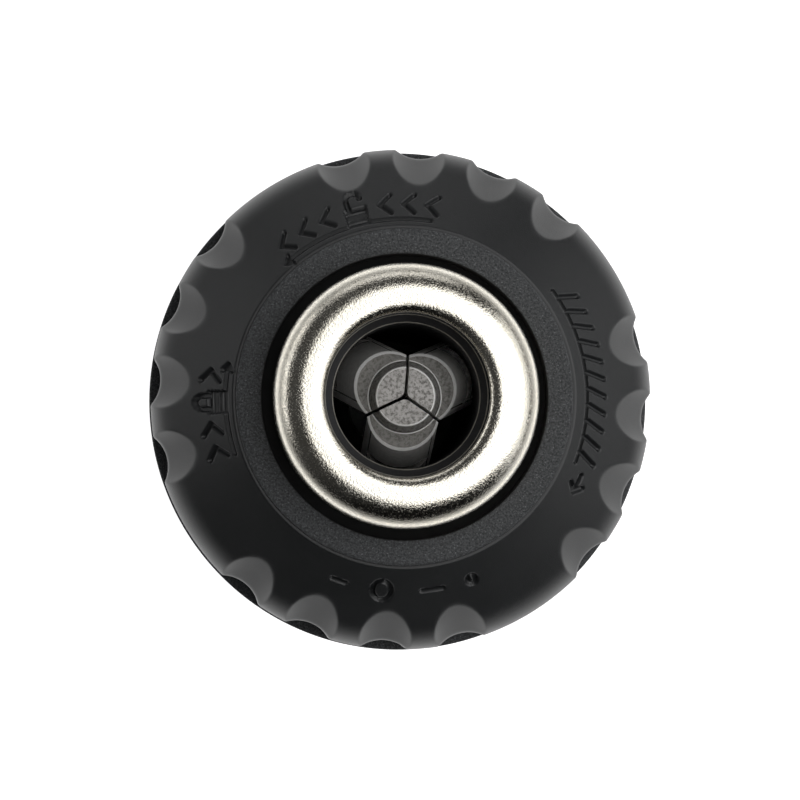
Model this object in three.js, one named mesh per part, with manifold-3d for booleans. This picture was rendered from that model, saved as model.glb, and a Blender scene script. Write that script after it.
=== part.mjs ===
// Keyless drill chuck with two sleeves, 0.8 to 10 mm capacity, for a 1/2"-20 UNF spindle.
// Millimetres. +Z runs along the chuck's axis towards the nose. The origin is the centre of the
// body's rear face, where a spindle's shoulder seats. The jaws are shown fully closed.
import * as THREE from "three";
import { mergeVertices } from "three/addons/utils/BufferGeometryUtils.js";
import Module from "manifold-3d";

const wasm = await Module();
wasm.setup();

// ---- driving dimensions ------------------------------------------------------------------

const FIT = 0.1; // radial play between pieces that turn or are pressed on one another
const ROUND = 36; // facets round the sleeves and the nose cap
const INNER_ROUND = 32; // facets round the body and the pieces inside
const BAR_ROUND = 20; // facets round a jaw rod and its passage
const TOOL_ROUND = 36; // facets round the cage and the rings that cut the jaws' teeth
const NUT_ROUND = 24; // facets round the nut and its collar
const FLUTE_ROUND = 16; // facets round a flute cutter
const POCKET_ROUND = 8; // facets round a ball's pocket

// Jaws: three round rods in passages that lean inward towards the nose.
const JAW_COUNT = 3;
const FIRST_JAW = 30; // azimuth of jaw_1, degrees
const LEAN = THREE.MathUtils.degToRad(17);
const TIP_Z = 53; // plane of the closed jaws' tips
const TIP_OFFSET = 0.6; // a rod's centre line stands this far off the chuck's axis at the tips
const ROD_R = 2.7;
const PASSAGE_R = 2.8;
const ROD_LENGTH = 28;
const ROD_TAIL_CHAMFER = 0.8;
const PILOT_TIP_R = 2.2; // the small round boss that the three tips make together
const PILOT_ROOT_R = 2.7;
const SHELF_Z = 51.2;
const JAW_GAP = 0.24; // between neighbouring gripping faces when closed
const GRIP_EDGE_R = 0.6;

// Thread between nut and jaws: right-handed, cut on a cone that follows the rods.
const LEAD = 2.0; // travel along the rod for one turn
const THREAD_PHASE = 29.2; // place of a ridge along the rod at azimuth 0
const CREST_N = 2.0; // height of the nut's crest above the rod's centre line
const ROOT_N = 2.85;
const CREST_HALF = 0.32;
const FLANK = Math.tan(THREE.MathUtils.degToRad(20));
const FLANK_PLAY = 0.16;
const CREST_PLAY = 0.2;
const FIRST_TOOTH = 6.6; // no teeth nearer the tip than this

// Body: lengths along the axis and radii of its steps.
const TAIL_R = 10.5;
const LEDGE_Z = [17.6, 20.6];
const LEDGE_R = 16.1;
const BOSS_R = 13.2;
const BOSS_TOP = 24.9;
const GROOVE_TOP = 31.7;
const GROOVE_R = [10.95, 8.9];
const BARREL_R = 10.4;
const NECK_R = 9.6;
const SPIGOT_R = 8.85;
const SPIGOT_Z = 46.5;
const BORE_R = 5.42; // passes a 10 mm shank
const BORE_FLOOR = 20.5;
const SCREW_HOLE_R = 3.25;

// Spindle socket: 1/2"-20 UNF.
const SOCKET_DEPTH = 17;
const SOCKET_MINOR_R = 5.65;
const SOCKET_MAJOR_R = 6.35;
const SOCKET_PITCH = 1.27;
const SOCKET_ROUND = 16; // facets to one turn of the thread

// Thrust bearing, nut and collar, stacked on the ledge.
const RACE_R = [13.5, 16.1];
const REAR_RACE_Z = [20.75, 21.75];
const FRONT_RACE_Z = [23.87, 24.87];
const BALL_COUNT = 18;
const BALL_R = 1.0;
const BALL_CIRCLE_R = 14.7;
const BALL_Z = 22.81;
const POCKET_R = 1.12;
const CAGE_R = [13.3, 16.15];
const CAGE_HALF_HEIGHT = 0.45;
const NUT_Z = [25.05, 31.05];
const NUT_R = 14.3;
const NUT_SPLIT = 0.3;
const COLLAR_R = [14.4, 15.2];
const COLLAR_LIP = { inner: 11.0, z: [31.2, 31.9] };
const LUG_COUNT = 4;
const LUG = { width: 4.0, inner: 14.7, outer: 16.0, z: [25.6, 30.6] };
const SLOT = { width: 4.4, inner: 15.0, outer: 16.25, z: [24.0, 31.5] };

// Front and rear sleeves.
const FLUTE_SPACING = 18; // degrees between neighbouring flutes
const FLUTES_PER_GROUP = 4;
const GROUP_COUNT = 4;
const FIRST_GROUP = 81.5; // azimuth of the middle of the first group, degrees
const FLUTE_R = 3.0;
const FLUTE_FLOOR_R = 18.1;
const FLUTE_KNEE_Z = 44.4;
const FLUTE_TIP = { r: 15.7, z: 48.6 };
const REAR_FLUTE_FLOOR_R = 18.0;
const REAR_FLUTE_START = 3.7;

// ---- shared helpers ----------------------------------------------------------------------

const TURN = 2 * Math.PI;
const radians = THREE.MathUtils.degToRad;

// A point in the half plane through the axis: radius, then height.
const at = (r, z) => new THREE.Vector2(r, z);

// Points of a round corner from one angle to another, in degrees.
function corner(centreR, centreZ, radius, from, to, steps) {
  const points = [];
  for (let i = 0; i <= steps; i += 1) {
    const a = radians(from + ((to - from) * i) / steps);
    points.push(at(centreR + radius * Math.cos(a), centreZ + radius * Math.sin(a)));
  }
  return points;
}

// A solid of revolution about Z. The profile goes up the outside first.
function turned(profile, facets = INNER_ROUND) {
  const geometry = new THREE.LatheGeometry(profile, facets);
  geometry.rotateX(Math.PI / 2);
  return geometry;
}

// The same for a ring, whose profile closes on itself.
function turnedRing(profile, facets = INNER_ROUND) {
  return turned([...profile, profile[0]], facets);
}

function rectangleRing(inner, outer, bottom, top, facets = INNER_ROUND) {
  return turnedRing([at(inner, bottom), at(outer, bottom), at(outer, top), at(inner, top)], facets);
}

// A closed skin over a row of like sections set round the axis, with flat ends. Each section goes
// up the outside first, as a turned profile does.
function skin(sections) {
  const size = sections[0].length;
  const index = [];
  for (let s = 0; s + 1 < sections.length; s += 1) {
    for (let i = 0; i < size; i += 1) {
      const a = s * size + i;
      const b = s * size + ((i + 1) % size);
      index.push(a, b + size, b, a, a + size, b + size);
    }
  }
  const last = (sections.length - 1) * size;
  for (let i = 1; i + 1 < size; i += 1) {
    index.push(0, i, i + 1);
    index.push(last, last + i + 1, last + i);
  }
  const geometry = new THREE.BufferGeometry().setFromPoints(sections.flat());
  geometry.setIndex(index);
  return geometry;
}

function toSolid(geometry) {
  const bare = geometry.clone();
  bare.deleteAttribute("normal");
  bare.deleteAttribute("uv");
  const merged = mergeVertices(bare, 1e-4);
  const index = merged.index.array;
  const triangles = [];
  for (let i = 0; i < index.length; i += 3) {
    const [a, b, c] = [index[i], index[i + 1], index[i + 2]];
    if (a !== b && b !== c && c !== a) triangles.push(a, b, c);
  }
  const vertProperties = new Float32Array(merged.getAttribute("position").array);
  const triVerts = new Uint32Array(triangles);
  return new wasm.Manifold(new wasm.Mesh({ numProp: 3, vertProperties, triVerts }));
}

function toGeometry(solid) {
  const mesh = solid.getMesh();
  const geometry = new THREE.BufferGeometry();
  geometry.setAttribute("position", new THREE.BufferAttribute(mesh.vertProperties, 3));
  geometry.setIndex(new THREE.BufferAttribute(mesh.triVerts, 1));
  geometry.computeVertexNormals();
  return geometry;
}

const cutFrom = (base, tools) => tools.reduce((solid, tool) => solid.subtract(toSolid(tool)), base);

function box(x, y, z) {
  const geometry = new THREE.BoxGeometry(x[1] - x[0], y[1] - y[0], z[1] - z[0]);
  geometry.translate((x[0] + x[1]) / 2, (y[0] + y[1]) / 2, (z[0] + z[1]) / 2);
  return geometry;
}

// A radial block of a given width, repeated round the axis.
function radialBlocks({ width, inner, outer, z }, count) {
  const blocks = [];
  for (let i = 0; i < count; i += 1) {
    const block = box([inner, outer], [-width / 2, width / 2], z);
    block.rotateZ(((i + 0.5) * TURN) / count);
    blocks.push(block);
  }
  return blocks;
}

const group = new THREE.Group();
group.name = "drill_chuck";

function add(name, shape, material, place = group) {
  const geometry = shape instanceof THREE.BufferGeometry ? shape : toGeometry(shape);
  const look = new THREE.MeshStandardMaterial(material);
  const mesh = new THREE.Mesh(geometry, look);
  mesh.name = name;
  place.add(mesh);
  return mesh;
}

const BODY_STEEL = { color: 0x3a3b3d, roughness: 0.45, metalness: 0.9 };
const NICKEL = { color: 0xc9c4ba, roughness: 0.3, metalness: 1.0 };
const JAW_STEEL = { color: 0x77736f, roughness: 0.42, metalness: 0.9 };
const BEARING_STEEL = { color: 0xb4b6b8, roughness: 0.18, metalness: 1.0 };
const NUT_STEEL = { color: 0x55544f, roughness: 0.4, metalness: 0.9 };
const CAGE_BRASS = { color: 0xb08d4a, roughness: 0.4, metalness: 0.8 };
const HARD_PLASTIC = { color: 0x2b2d2f, roughness: 0.75, metalness: 0.0 };
const SOFT_GRIP = { color: 0x232527, roughness: 0.6, metalness: 0.0 };

// ---- the line of a jaw -------------------------------------------------------------------

// A point beside a rod, in the half plane of that rod: u runs back from the tips along the rod's
// centre line, n stands out from it, away from the chuck's axis.
function beside(u, n) {
  const r = TIP_OFFSET + u * Math.sin(LEAN) + n * Math.cos(LEAN);
  const z = TIP_Z - u * Math.cos(LEAN) + n * Math.sin(LEAN);
  return at(r, z);
}

const jawAzimuth = (number) => radians(FIRST_JAW) + (number * TURN) / JAW_COUNT;

// A round bar along a jaw's centre line, from u0 to u1, with an optional chamfer at the back.
function leaningBar(radius, u0, u1, chamfer = 0) {
  const profile = [at(0, -u1), at(radius - chamfer, -u1), at(radius, chamfer - u1), at(radius, -u0)];
  if (chamfer === 0) profile.splice(1, 1);
  const bar = turned([...profile, at(0, -u0)], BAR_ROUND);
  bar.rotateY(-LEAN);
  bar.translate(TIP_OFFSET, 0, TIP_Z);
  return bar;
}

// ---- jaws --------------------------------------------------------------------------------

// The third of the round that one jaw may fill: two upright faces and a rounded gripping edge.
function jawSector() {
  const half = TURN / JAW_COUNT / 2;
  const reach = 16;
  const edgeCentre = (JAW_GAP / 2 + GRIP_EDGE_R) / Math.sin(half);
  const offset = new THREE.Vector2(Math.sin(half), -Math.cos(half)).multiplyScalar(JAW_GAP / 2);
  const farX = reach * Math.cos(half) + offset.x;
  const farY = reach * Math.sin(half) + offset.y;
  const outline = new THREE.Shape();
  outline.moveTo(farX, farY);
  outline.absarc(edgeCentre, 0, GRIP_EDGE_R, Math.PI / 2 + half, 1.5 * Math.PI - half, false);
  outline.lineTo(farX, -farY);
  outline.lineTo(reach, -farY);
  outline.lineTo(reach, farY);
  outline.closePath();
  const sector = new THREE.ExtrudeGeometry(outline, {
    depth: TIP_Z + 4,
    bevelEnabled: false,
    curveSegments: 6,
  });
  return sector;
}

// A ring with the nut's thread section, tilted to the thread's helix, set to cut one tooth gap.
function toothCutter(u) {
  const middleN = (CREST_N + ROOT_N) / 2;
  const middleU = (TIP_Z - (NUT_Z[0] + NUT_Z[1]) / 2 + middleN * Math.sin(LEAN)) / Math.cos(LEAN);
  const ringR = beside(middleU, middleN).x;
  const floorN = CREST_N - CREST_PLAY;
  const clearN = ROD_R + 0.6;
  const halfAt = (n) => CREST_HALF + FLANK_PLAY + (n - CREST_N) * FLANK;
  const shifted = (du, n) => {
    const point = beside(middleU + du, n);
    return at(point.x, point.y - beside(middleU, middleN).y);
  };
  const section = [
    shifted(halfAt(clearN), clearN),
    shifted(-halfAt(clearN), clearN),
    shifted(-halfAt(floorN), floorN),
    shifted(halfAt(floorN), floorN),
  ];
  const ring = turnedRing(section, TOOL_ROUND);
  ring.rotateX(Math.atan((LEAD * Math.cos(LEAN)) / (TURN * ringR)));
  const place = beside(u, middleN);
  ring.translate(place.x - ringR, 0, place.y);
  return ring;
}

// Tooth gaps in step with the nut's ridge as it passes a jaw at some azimuth.
function toothGaps(azimuth) {
  const phase = THREAD_PHASE - (LEAD * azimuth) / TURN;
  const first = phase - LEAD * Math.floor((phase - FIRST_TOOTH) / LEAD);
  const gaps = [];
  for (let u = first; u < ROD_LENGTH + CREST_HALF; u += LEAD) gaps.push(toothCutter(u));
  return gaps;
}

function jaw(azimuth) {
  const reach = 16;
  const envelope = turned(
    [
      at(0, 0),
      at(reach, 0),
      at(reach, SHELF_Z),
      at(PILOT_ROOT_R, SHELF_Z),
      at(PILOT_TIP_R, TIP_Z),
      at(0, TIP_Z),
    ],
    ROUND,
  );
  const rod = toSolid(leaningBar(ROD_R, -3, ROD_LENGTH, ROD_TAIL_CHAMFER));
  const blank = rod.intersect(toSolid(envelope)).intersect(toSolid(jawSector()));
  return cutFrom(blank, toothGaps(azimuth));
}

for (let i = 0; i < JAW_COUNT; i += 1) {
  const turntable = new THREE.Group();
  turntable.rotation.z = jawAzimuth(i);
  group.add(turntable);
  add(`jaw_${i + 1}`, jaw(jawAzimuth(i)), JAW_STEEL, turntable);
}

// ---- chuck body --------------------------------------------------------------------------

// The groove that turns a plain bore into the internal spindle thread.
function socketThread() {
  const perTurn = SOCKET_ROUND;
  const start = -SOCKET_PITCH;
  const end = SOCKET_DEPTH - SOCKET_PITCH;
  const steps = Math.round(((end - start) / SOCKET_PITCH) * perTurn);
  const half = SOCKET_PITCH * 0.42;
  const insideR = SOCKET_MINOR_R - 0.35;
  const spread = (half * (SOCKET_MAJOR_R - insideR)) / (SOCKET_MAJOR_R - SOCKET_MINOR_R);
  const sections = [];
  for (let i = 0; i <= steps; i += 1) {
    const angle = (i * TURN) / perTurn;
    const z = start + (i * SOCKET_PITCH) / perTurn;
    const point = (r, dz) => new THREE.Vector3(r * Math.cos(angle), r * Math.sin(angle), z + dz);
    sections.push([point(insideR, -spread), point(SOCKET_MAJOR_R, 0), point(insideR, spread)]);
  }
  return skin(sections);
}

function chuckBody() {
  const blank = turned(
    [
      at(0, 0),
      at(TAIL_R - 0.5, 0),
      at(TAIL_R, 0.5),
      at(TAIL_R, LEDGE_Z[0]),
      at(LEDGE_R, LEDGE_Z[0]),
      at(LEDGE_R, LEDGE_Z[1]),
      at(BOSS_R, LEDGE_Z[1]),
      at(BOSS_R, BOSS_TOP),
      at(GROOVE_R[0], BOSS_TOP),
      at(GROOVE_R[1], GROOVE_TOP),
      at(BARREL_R, GROOVE_TOP),
      at(BARREL_R, 44.0),
      at(NECK_R, 44.6),
      at(NECK_R, SPIGOT_Z),
      at(SPIGOT_R, SPIGOT_Z),
      at(SPIGOT_R, 54.9),
      at(8.55, 55.6),
      at(7.82, 55.95),
      at(7.35, 55.95),
      at(6.45, 55.25),
      at(0, 55.25),
    ],
    INNER_ROUND,
  );
  const bore = turned([
    at(0, BORE_FLOOR),
    at(BORE_R, BORE_FLOOR),
    at(BORE_R, 54.4),
    at(6.6, 55.58),
    at(0, 55.58),
  ]);
  const screwHole = turned([at(0, 10), at(SCREW_HOLE_R, 10), at(SCREW_HOLE_R, 22), at(0, 22)], SOCKET_ROUND);
  const socket = turned(
    [
      at(0, -1),
      at(SOCKET_MAJOR_R + 1.2, -1),
      at(SOCKET_MINOR_R, 0.9),
      at(SOCKET_MINOR_R, SOCKET_DEPTH),
      at(0, SOCKET_DEPTH),
    ],
    SOCKET_ROUND,
  );
  const passages = [];
  for (let i = 0; i < JAW_COUNT; i += 1) {
    const passage = leaningBar(PASSAGE_R, -6, 52);
    passage.rotateZ(jawAzimuth(i));
    passages.push(passage);
  }
  return cutFrom(toSolid(blank), [bore, screwHole, socket, socketThread(), ...passages]);
}

add("chuck_body", chuckBody(), BODY_STEEL);

// ---- nose cap ----------------------------------------------------------------------------

// A drawn and plated cap pressed on the body's spigot. It keeps the front sleeve on.
function noseCap() {
  return turnedRing(
    [
      at(8.95, 48.6),
      at(9.65, 48.6),
      at(9.85, 48.8),
      ...corner(7.55, 54.7, 2.3, 0, 90, 5),
      at(7.0, 57.0),
      at(6.6, 56.9),
      at(6.32, 56.65),
      at(6.2, 56.3),
      at(6.2, 55.35),
      at(6.75, 55.78),
      at(7.35, 56.2),
      ...corner(7.82, 55.1, 1.13, 90, 0, 2),
    ],
    ROUND,
  );
}

add("nose_cap", noseCap(), NICKEL);

// ---- thrust bearing ----------------------------------------------------------------------

add("rear_race", rectangleRing(...RACE_R, ...REAR_RACE_Z), BEARING_STEEL);
add("front_race", rectangleRing(...RACE_R, ...FRONT_RACE_Z), BEARING_STEEL);

function ballCage() {
  const bottom = BALL_Z - CAGE_HALF_HEIGHT;
  const top = BALL_Z + CAGE_HALF_HEIGHT;
  const pockets = [];
  for (let i = 0; i < BALL_COUNT; i += 1) {
    const pocket = new THREE.CylinderGeometry(POCKET_R, POCKET_R, 4, POCKET_ROUND);
    pocket.rotateX(Math.PI / 2);
    pocket.translate(BALL_CIRCLE_R, 0, BALL_Z);
    pocket.rotateZ((i * TURN) / BALL_COUNT);
    pockets.push(pocket);
  }
  return cutFrom(toSolid(rectangleRing(...CAGE_R, bottom, top, TOOL_ROUND)), pockets);
}

add("ball_cage", ballCage(), CAGE_BRASS);

for (let i = 0; i < BALL_COUNT; i += 1) {
  const name = `ball_${String(i + 1).padStart(2, "0")}`;
  const ball = add(name, new THREE.IcosahedronGeometry(BALL_R, 1), BEARING_STEEL);
  const angle = (i * TURN) / BALL_COUNT;
  ball.position.set(BALL_CIRCLE_R * Math.cos(angle), BALL_CIRCLE_R * Math.sin(angle), BALL_Z);
}

// ---- split nut and its collar ------------------------------------------------------------

// The nut's inner ridge, a conical right-hand helix that runs past both faces of the nut.
function nutRidge() {
  const spare = LEAD / 2;
  const rearU = (TIP_Z - NUT_Z[0] + ROOT_N * Math.sin(LEAN)) / Math.cos(LEAN) + spare;
  const frontU = (TIP_Z - NUT_Z[1] + CREST_N * Math.sin(LEAN)) / Math.cos(LEAN) - spare;
  const firstStep = Math.floor(((THREAD_PHASE - rearU) / LEAD) * NUT_ROUND);
  const lastStep = Math.ceil(((THREAD_PHASE - frontU) / LEAD) * NUT_ROUND);
  const buriedN = ROOT_N + 0.15;
  const buriedHalf = CREST_HALF + (buriedN - CREST_N) * FLANK;
  const sections = [];
  for (let i = firstStep; i <= lastStep; i += 1) {
    const angle = (i * TURN) / NUT_ROUND;
    const u = THREAD_PHASE - (LEAD * i) / NUT_ROUND;
    const point = (du, n) => {
      const place = beside(u + du, n);
      return new THREE.Vector3(place.x * Math.cos(angle), place.x * Math.sin(angle), place.y);
    };
    sections.push([
      point(buriedHalf, buriedN),
      point(-buriedHalf, buriedN),
      point(-CREST_HALF, CREST_N),
      point(CREST_HALF, CREST_N),
    ]);
  }
  return skin(sections);
}

function nut() {
  const rootAt = (z) => {
    const u = (TIP_Z - z + ROOT_N * Math.sin(LEAN)) / Math.cos(LEAN);
    return beside(u, ROOT_N).x;
  };
  const ring = turnedRing(
    [
      at(rootAt(NUT_Z[0]), NUT_Z[0]),
      at(NUT_R, NUT_Z[0]),
      at(NUT_R, NUT_Z[1]),
      at(rootAt(NUT_Z[1]), NUT_Z[1]),
    ],
    NUT_ROUND,
  );
  const between = rectangleRing(7, NUT_R + 1, ...NUT_Z, NUT_ROUND);
  const ridge = toSolid(nutRidge()).intersect(toSolid(between));
  return toSolid(ring).add(ridge);
}

function halfOf(solid, side) {
  const keep = side > 0 ? [NUT_SPLIT / 2, 20] : [-20, -NUT_SPLIT / 2];
  return solid.intersect(toSolid(box([-20, 20], keep, [20, 40])));
}

const wholeNut = nut();
add("nut_half_left", halfOf(wholeNut, 1), NUT_STEEL);
add("nut_half_right", halfOf(wholeNut, -1), NUT_STEEL);

function nutCollar() {
  const ring = turnedRing(
    [
      at(COLLAR_R[0], NUT_Z[0]),
      at(COLLAR_R[1], NUT_Z[0]),
      at(COLLAR_R[1], COLLAR_LIP.z[1]),
      at(COLLAR_LIP.inner, COLLAR_LIP.z[1]),
      at(COLLAR_LIP.inner, COLLAR_LIP.z[0]),
      at(COLLAR_R[0], COLLAR_LIP.z[0]),
    ],
    NUT_ROUND,
  );
  return radialBlocks(LUG, LUG_COUNT).reduce((solid, lug) => solid.add(toSolid(lug)), toSolid(ring));
}

add("nut_collar", nutCollar(), NUT_STEEL);

// ---- sleeves -----------------------------------------------------------------------------

// Azimuths of the finger flutes, which stand in groups with a plain land between groups.
function fluteAzimuths() {
  const azimuths = [];
  for (let g = 0; g < GROUP_COUNT; g += 1) {
    const middle = FIRST_GROUP + (g * 360) / GROUP_COUNT;
    for (let i = 0; i < FLUTES_PER_GROUP; i += 1) {
      azimuths.push(radians(middle + (i - (FLUTES_PER_GROUP - 1) / 2) * FLUTE_SPACING));
    }
  }
  return azimuths;
}

// A round cutter whose lowest line lies at floorR, from bottom to top.
function uprightFlute(floorR, bottom, top) {
  const cutter = new THREE.CylinderGeometry(FLUTE_R, FLUTE_R, top - bottom, FLUTE_ROUND);
  cutter.rotateX(Math.PI / 2);
  cutter.translate(floorR + FLUTE_R, 0, (top + bottom) / 2);
  return cutter;
}

// The same cutter leaning inward above the knee, which runs the flute out on the cone.
function leaningFlute() {
  const run = FLUTE_TIP.z - FLUTE_KNEE_Z;
  const lean = Math.atan((FLUTE_FLOOR_R - FLUTE_TIP.r) / run);
  const length = 12;
  const cutter = new THREE.CylinderGeometry(FLUTE_R, FLUTE_R, length, FLUTE_ROUND);
  cutter.rotateX(Math.PI / 2);
  cutter.translate(FLUTE_R, 0, length / 2 - FLUTE_R);
  cutter.rotateY(-lean);
  cutter.translate(FLUTE_FLOOR_R, 0, FLUTE_KNEE_Z);
  return cutter;
}

// Hard inner shell: rear skirt, thrust web under the nose cap, and the textured front ring.
function frontSleeve() {
  const shell = turnedRing(
    [
      at(16.3, 21.2),
      at(18.0, 21.2),
      at(18.3, 21.5),
      at(18.6, 36.0),
      at(19.15, 36.2),
      at(19.15, 37.9),
      at(17.2, 37.9),
      at(17.2, 45.6),
      at(12.5, 49.6),
      at(12.5, 51.35),
      at(12.35, 51.5),
      at(10.88, 51.5),
      at(10.68, 51.3),
      at(10.68, 48.3),
      at(9.1, 48.3),
      at(9.1, 47.0),
      at(10.4, 46.9),
      at(15.5, 43.0),
      at(15.5, 25.1),
      at(16.3, 25.1),
    ],
    ROUND,
  );
  return cutFrom(toSolid(shell), radialBlocks(SLOT, LUG_COUNT));
}

add("front_sleeve", frontSleeve(), HARD_PLASTIC);

// Soft grip moulded over the shell: the fluted drum and the cone in front of it.
function frontSleeveGrip() {
  const drumR = 19.0;
  const shoulder = 2.2;
  const slope = 40; // of the cone, from a plane across the axis
  const shell = turnedRing(
    [
      at(17.3, 38.1),
      at(18.8, 38.1),
      at(drumR, 38.3),
      ...corner(drumR - shoulder, 44.77, shoulder, 0, 90 - slope, 4),
      at(12.75, 51.12),
      at(12.62, 51.0),
      at(12.62, 49.68),
      at(17.3, 45.7),
    ],
    ROUND,
  );
  const cutters = [];
  for (const azimuth of fluteAzimuths()) {
    const upright = toSolid(uprightFlute(FLUTE_FLOOR_R, 30, FLUTE_KNEE_Z + 3));
    const flute = toGeometry(upright.add(toSolid(leaningFlute())));
    flute.rotateZ(azimuth);
    cutters.push(flute);
  }
  return cutFrom(toSolid(shell), cutters);
}

add("front_sleeve_grip", frontSleeveGrip(), SOFT_GRIP);

// Fixed cup pressed on the body's tail and on the rim of its ledge.
function rearSleeve() {
  const shell = turnedRing(
    [
      at(TAIL_R + FIT, 0.9),
      at(16.6, 0.9),
      ...corner(16.7, 3.0, 2.1, -90, 0, 4).slice(1),
      at(18.8, 20.4),
      at(18.5, 20.7),
      at(LEDGE_R + FIT, 20.7),
      at(LEDGE_R + FIT, 17.2),
      at(16.8, 17.0),
      at(16.8, 3.4),
      at(12.2, 3.4),
      at(12.2, 6.8),
      at(TAIL_R + FIT, 6.8),
    ],
    ROUND,
  );
  const cutters = fluteAzimuths().map((azimuth) => {
    const flute = uprightFlute(REAR_FLUTE_FLOOR_R, REAR_FLUTE_START, 24);
    flute.rotateZ(azimuth);
    return flute;
  });
  return cutFrom(toSolid(shell), cutters);
}

add("rear_sleeve", rearSleeve(), HARD_PLASTIC);

export default group;
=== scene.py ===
import math

import bmesh
import bpy
from mathutils import Matrix, Vector


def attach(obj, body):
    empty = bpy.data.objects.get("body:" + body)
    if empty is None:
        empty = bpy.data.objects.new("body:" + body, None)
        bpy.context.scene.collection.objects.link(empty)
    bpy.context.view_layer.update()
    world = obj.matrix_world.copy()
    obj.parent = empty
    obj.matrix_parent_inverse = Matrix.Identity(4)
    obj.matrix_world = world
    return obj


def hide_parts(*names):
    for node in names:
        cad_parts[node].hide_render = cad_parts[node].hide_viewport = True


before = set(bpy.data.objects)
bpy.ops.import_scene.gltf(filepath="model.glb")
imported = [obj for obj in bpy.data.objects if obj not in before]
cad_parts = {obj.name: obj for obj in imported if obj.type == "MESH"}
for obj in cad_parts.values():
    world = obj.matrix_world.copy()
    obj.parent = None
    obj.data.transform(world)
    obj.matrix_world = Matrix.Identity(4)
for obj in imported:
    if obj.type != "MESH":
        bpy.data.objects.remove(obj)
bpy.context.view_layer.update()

# ---- Chuck body --------------------------------------------------------------------------
# One turned steel part with a dark phosphate finish. Its tail is tapped for the spindle, three
# passages are bored in at a lean for the jaws, and the nose is bored to pass a 10 mm shank.

MM = 0.001
TAU = 2 * math.pi
LEAN = math.radians(17)
JAW_AZIMUTHS = [math.radians(30 + 120 * number) for number in range(3)]
TIP_HEIGHT = 53.0
TIP_OFFSET = 0.6


def outline(*corners, steps=6):
    """A closed outline of (radius, height) corners in millimetres. A third number rounds one."""
    points = []
    for number, corner in enumerate(corners):
        here = Vector(corner[:2])
        if len(corner) == 2:
            points.append(here)
            continue
        to_last = Vector(corners[number - 1][:2]) - here
        to_next = Vector(corners[(number + 1) % len(corners)][:2]) - here
        half = to_last.angle(to_next) / 2
        reach = min(corner[2] / math.tan(half), 0.49 * to_last.length, 0.49 * to_next.length)
        radius = reach * math.tan(half)
        towards = (to_last.normalized() + to_next.normalized()).normalized()
        middle = here + towards * radius / math.sin(half)
        first = here + to_last.normalized() * reach - middle
        last = here + to_next.normalized() * reach - middle
        for step in range(steps + 1):
            blend = step / steps
            spoke = first * math.sin((1 - blend) * (math.pi - 2 * half))
            spoke += last * math.sin(blend * (math.pi - 2 * half))
            points.append(middle + spoke / math.sin(math.pi - 2 * half))
    return points


def new_piece(name, points, faces, sharp=30):
    """A mesh object from points in millimetres, smooth but for edges sharper than an angle."""
    mesh = bpy.data.meshes.new(name)
    mesh.from_pydata([Vector(point) * MM for point in points], [], faces)
    work = bmesh.new()
    work.from_mesh(mesh)
    bmesh.ops.recalc_face_normals(work, faces=work.faces)
    work.to_mesh(mesh)
    work.free()
    mesh.shade_smooth()
    mesh.set_sharp_from_angle(angle=math.radians(sharp))
    piece = bpy.data.objects.new(name, mesh)
    bpy.context.scene.collection.objects.link(piece)
    return piece


def turned(name, points, facets=192, sharp=30):
    """A body turned about Z from a closed outline. Points on the axis are left out of the ring."""
    on_axis = [point.x < 1e-6 for point in points]
    rows, verts, faces = [], [], []
    for point, pole in zip(points, on_axis):
        count = 1 if pole else facets
        rows.append([len(verts) + (step if count > 1 else 0) for step in range(facets)])
        for step in range(count):
            angle = TAU * step / facets
            verts.append((point.x * math.cos(angle), point.x * math.sin(angle), point.y))
    for row, above in zip(rows, rows[1:] + rows[:1]):
        for step in range(facets):
            ahead = (step + 1) % facets
            corners = [row[step], row[ahead], above[ahead], above[step]]
            distinct = list(dict.fromkeys(corners))
            if len(distinct) > 2:
                faces.append(distinct)
    return new_piece(name, verts, faces, sharp)


def place(piece, matrix):
    """Moves a finished piece's mesh, so that the object itself stays at the origin, unturned."""
    piece.data.transform(matrix)
    return piece


def settle(piece):
    """Keeps the result of a piece's modifiers as its plain mesh."""
    graph = bpy.context.evaluated_depsgraph_get()
    graph.update()
    mesh = bpy.data.meshes.new_from_object(piece.evaluated_get(graph))
    piece.modifiers.clear()
    piece.data = mesh
    return piece


def cut(piece, *tools, keep="DIFFERENCE", sharp=30):
    """Machines a piece with tool bodies, which are used up."""
    for tool in tools:
        work = piece.modifiers.new("cut", "BOOLEAN")
        work.operation = keep
        work.solver = "EXACT"
        work.object = tool
    settle(piece)
    for tool in tools:
        bpy.data.objects.remove(tool)
    piece.data.shade_smooth()
    piece.data.set_sharp_from_angle(angle=math.radians(sharp))
    return piece


def along_jaw(u, n=0.0):
    """(radius, height) beside a jaw's centre line: u back from the tips, n outward from it."""
    radius = TIP_OFFSET + u * math.sin(LEAN) + n * math.cos(LEAN)
    return radius, TIP_HEIGHT - u * math.cos(LEAN) + n * math.sin(LEAN)


def leaning_bar(name, radius, near, far, azimuth, chamfer=0.0, facets=96):
    """A round bar on a jaw's centre line, from near to far behind the tips."""
    profile = outline((0, -far), (radius, -far, chamfer), (radius, -near), (0, -near), steps=1)
    bar = turned(name, profile, facets)
    lean = Matrix.Translation((TIP_OFFSET * MM, 0, TIP_HEIGHT * MM)) @ Matrix.Rotation(-LEAN, 4, "Y")
    return place(bar, Matrix.Rotation(azimuth, 4, "Z") @ lean)


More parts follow.
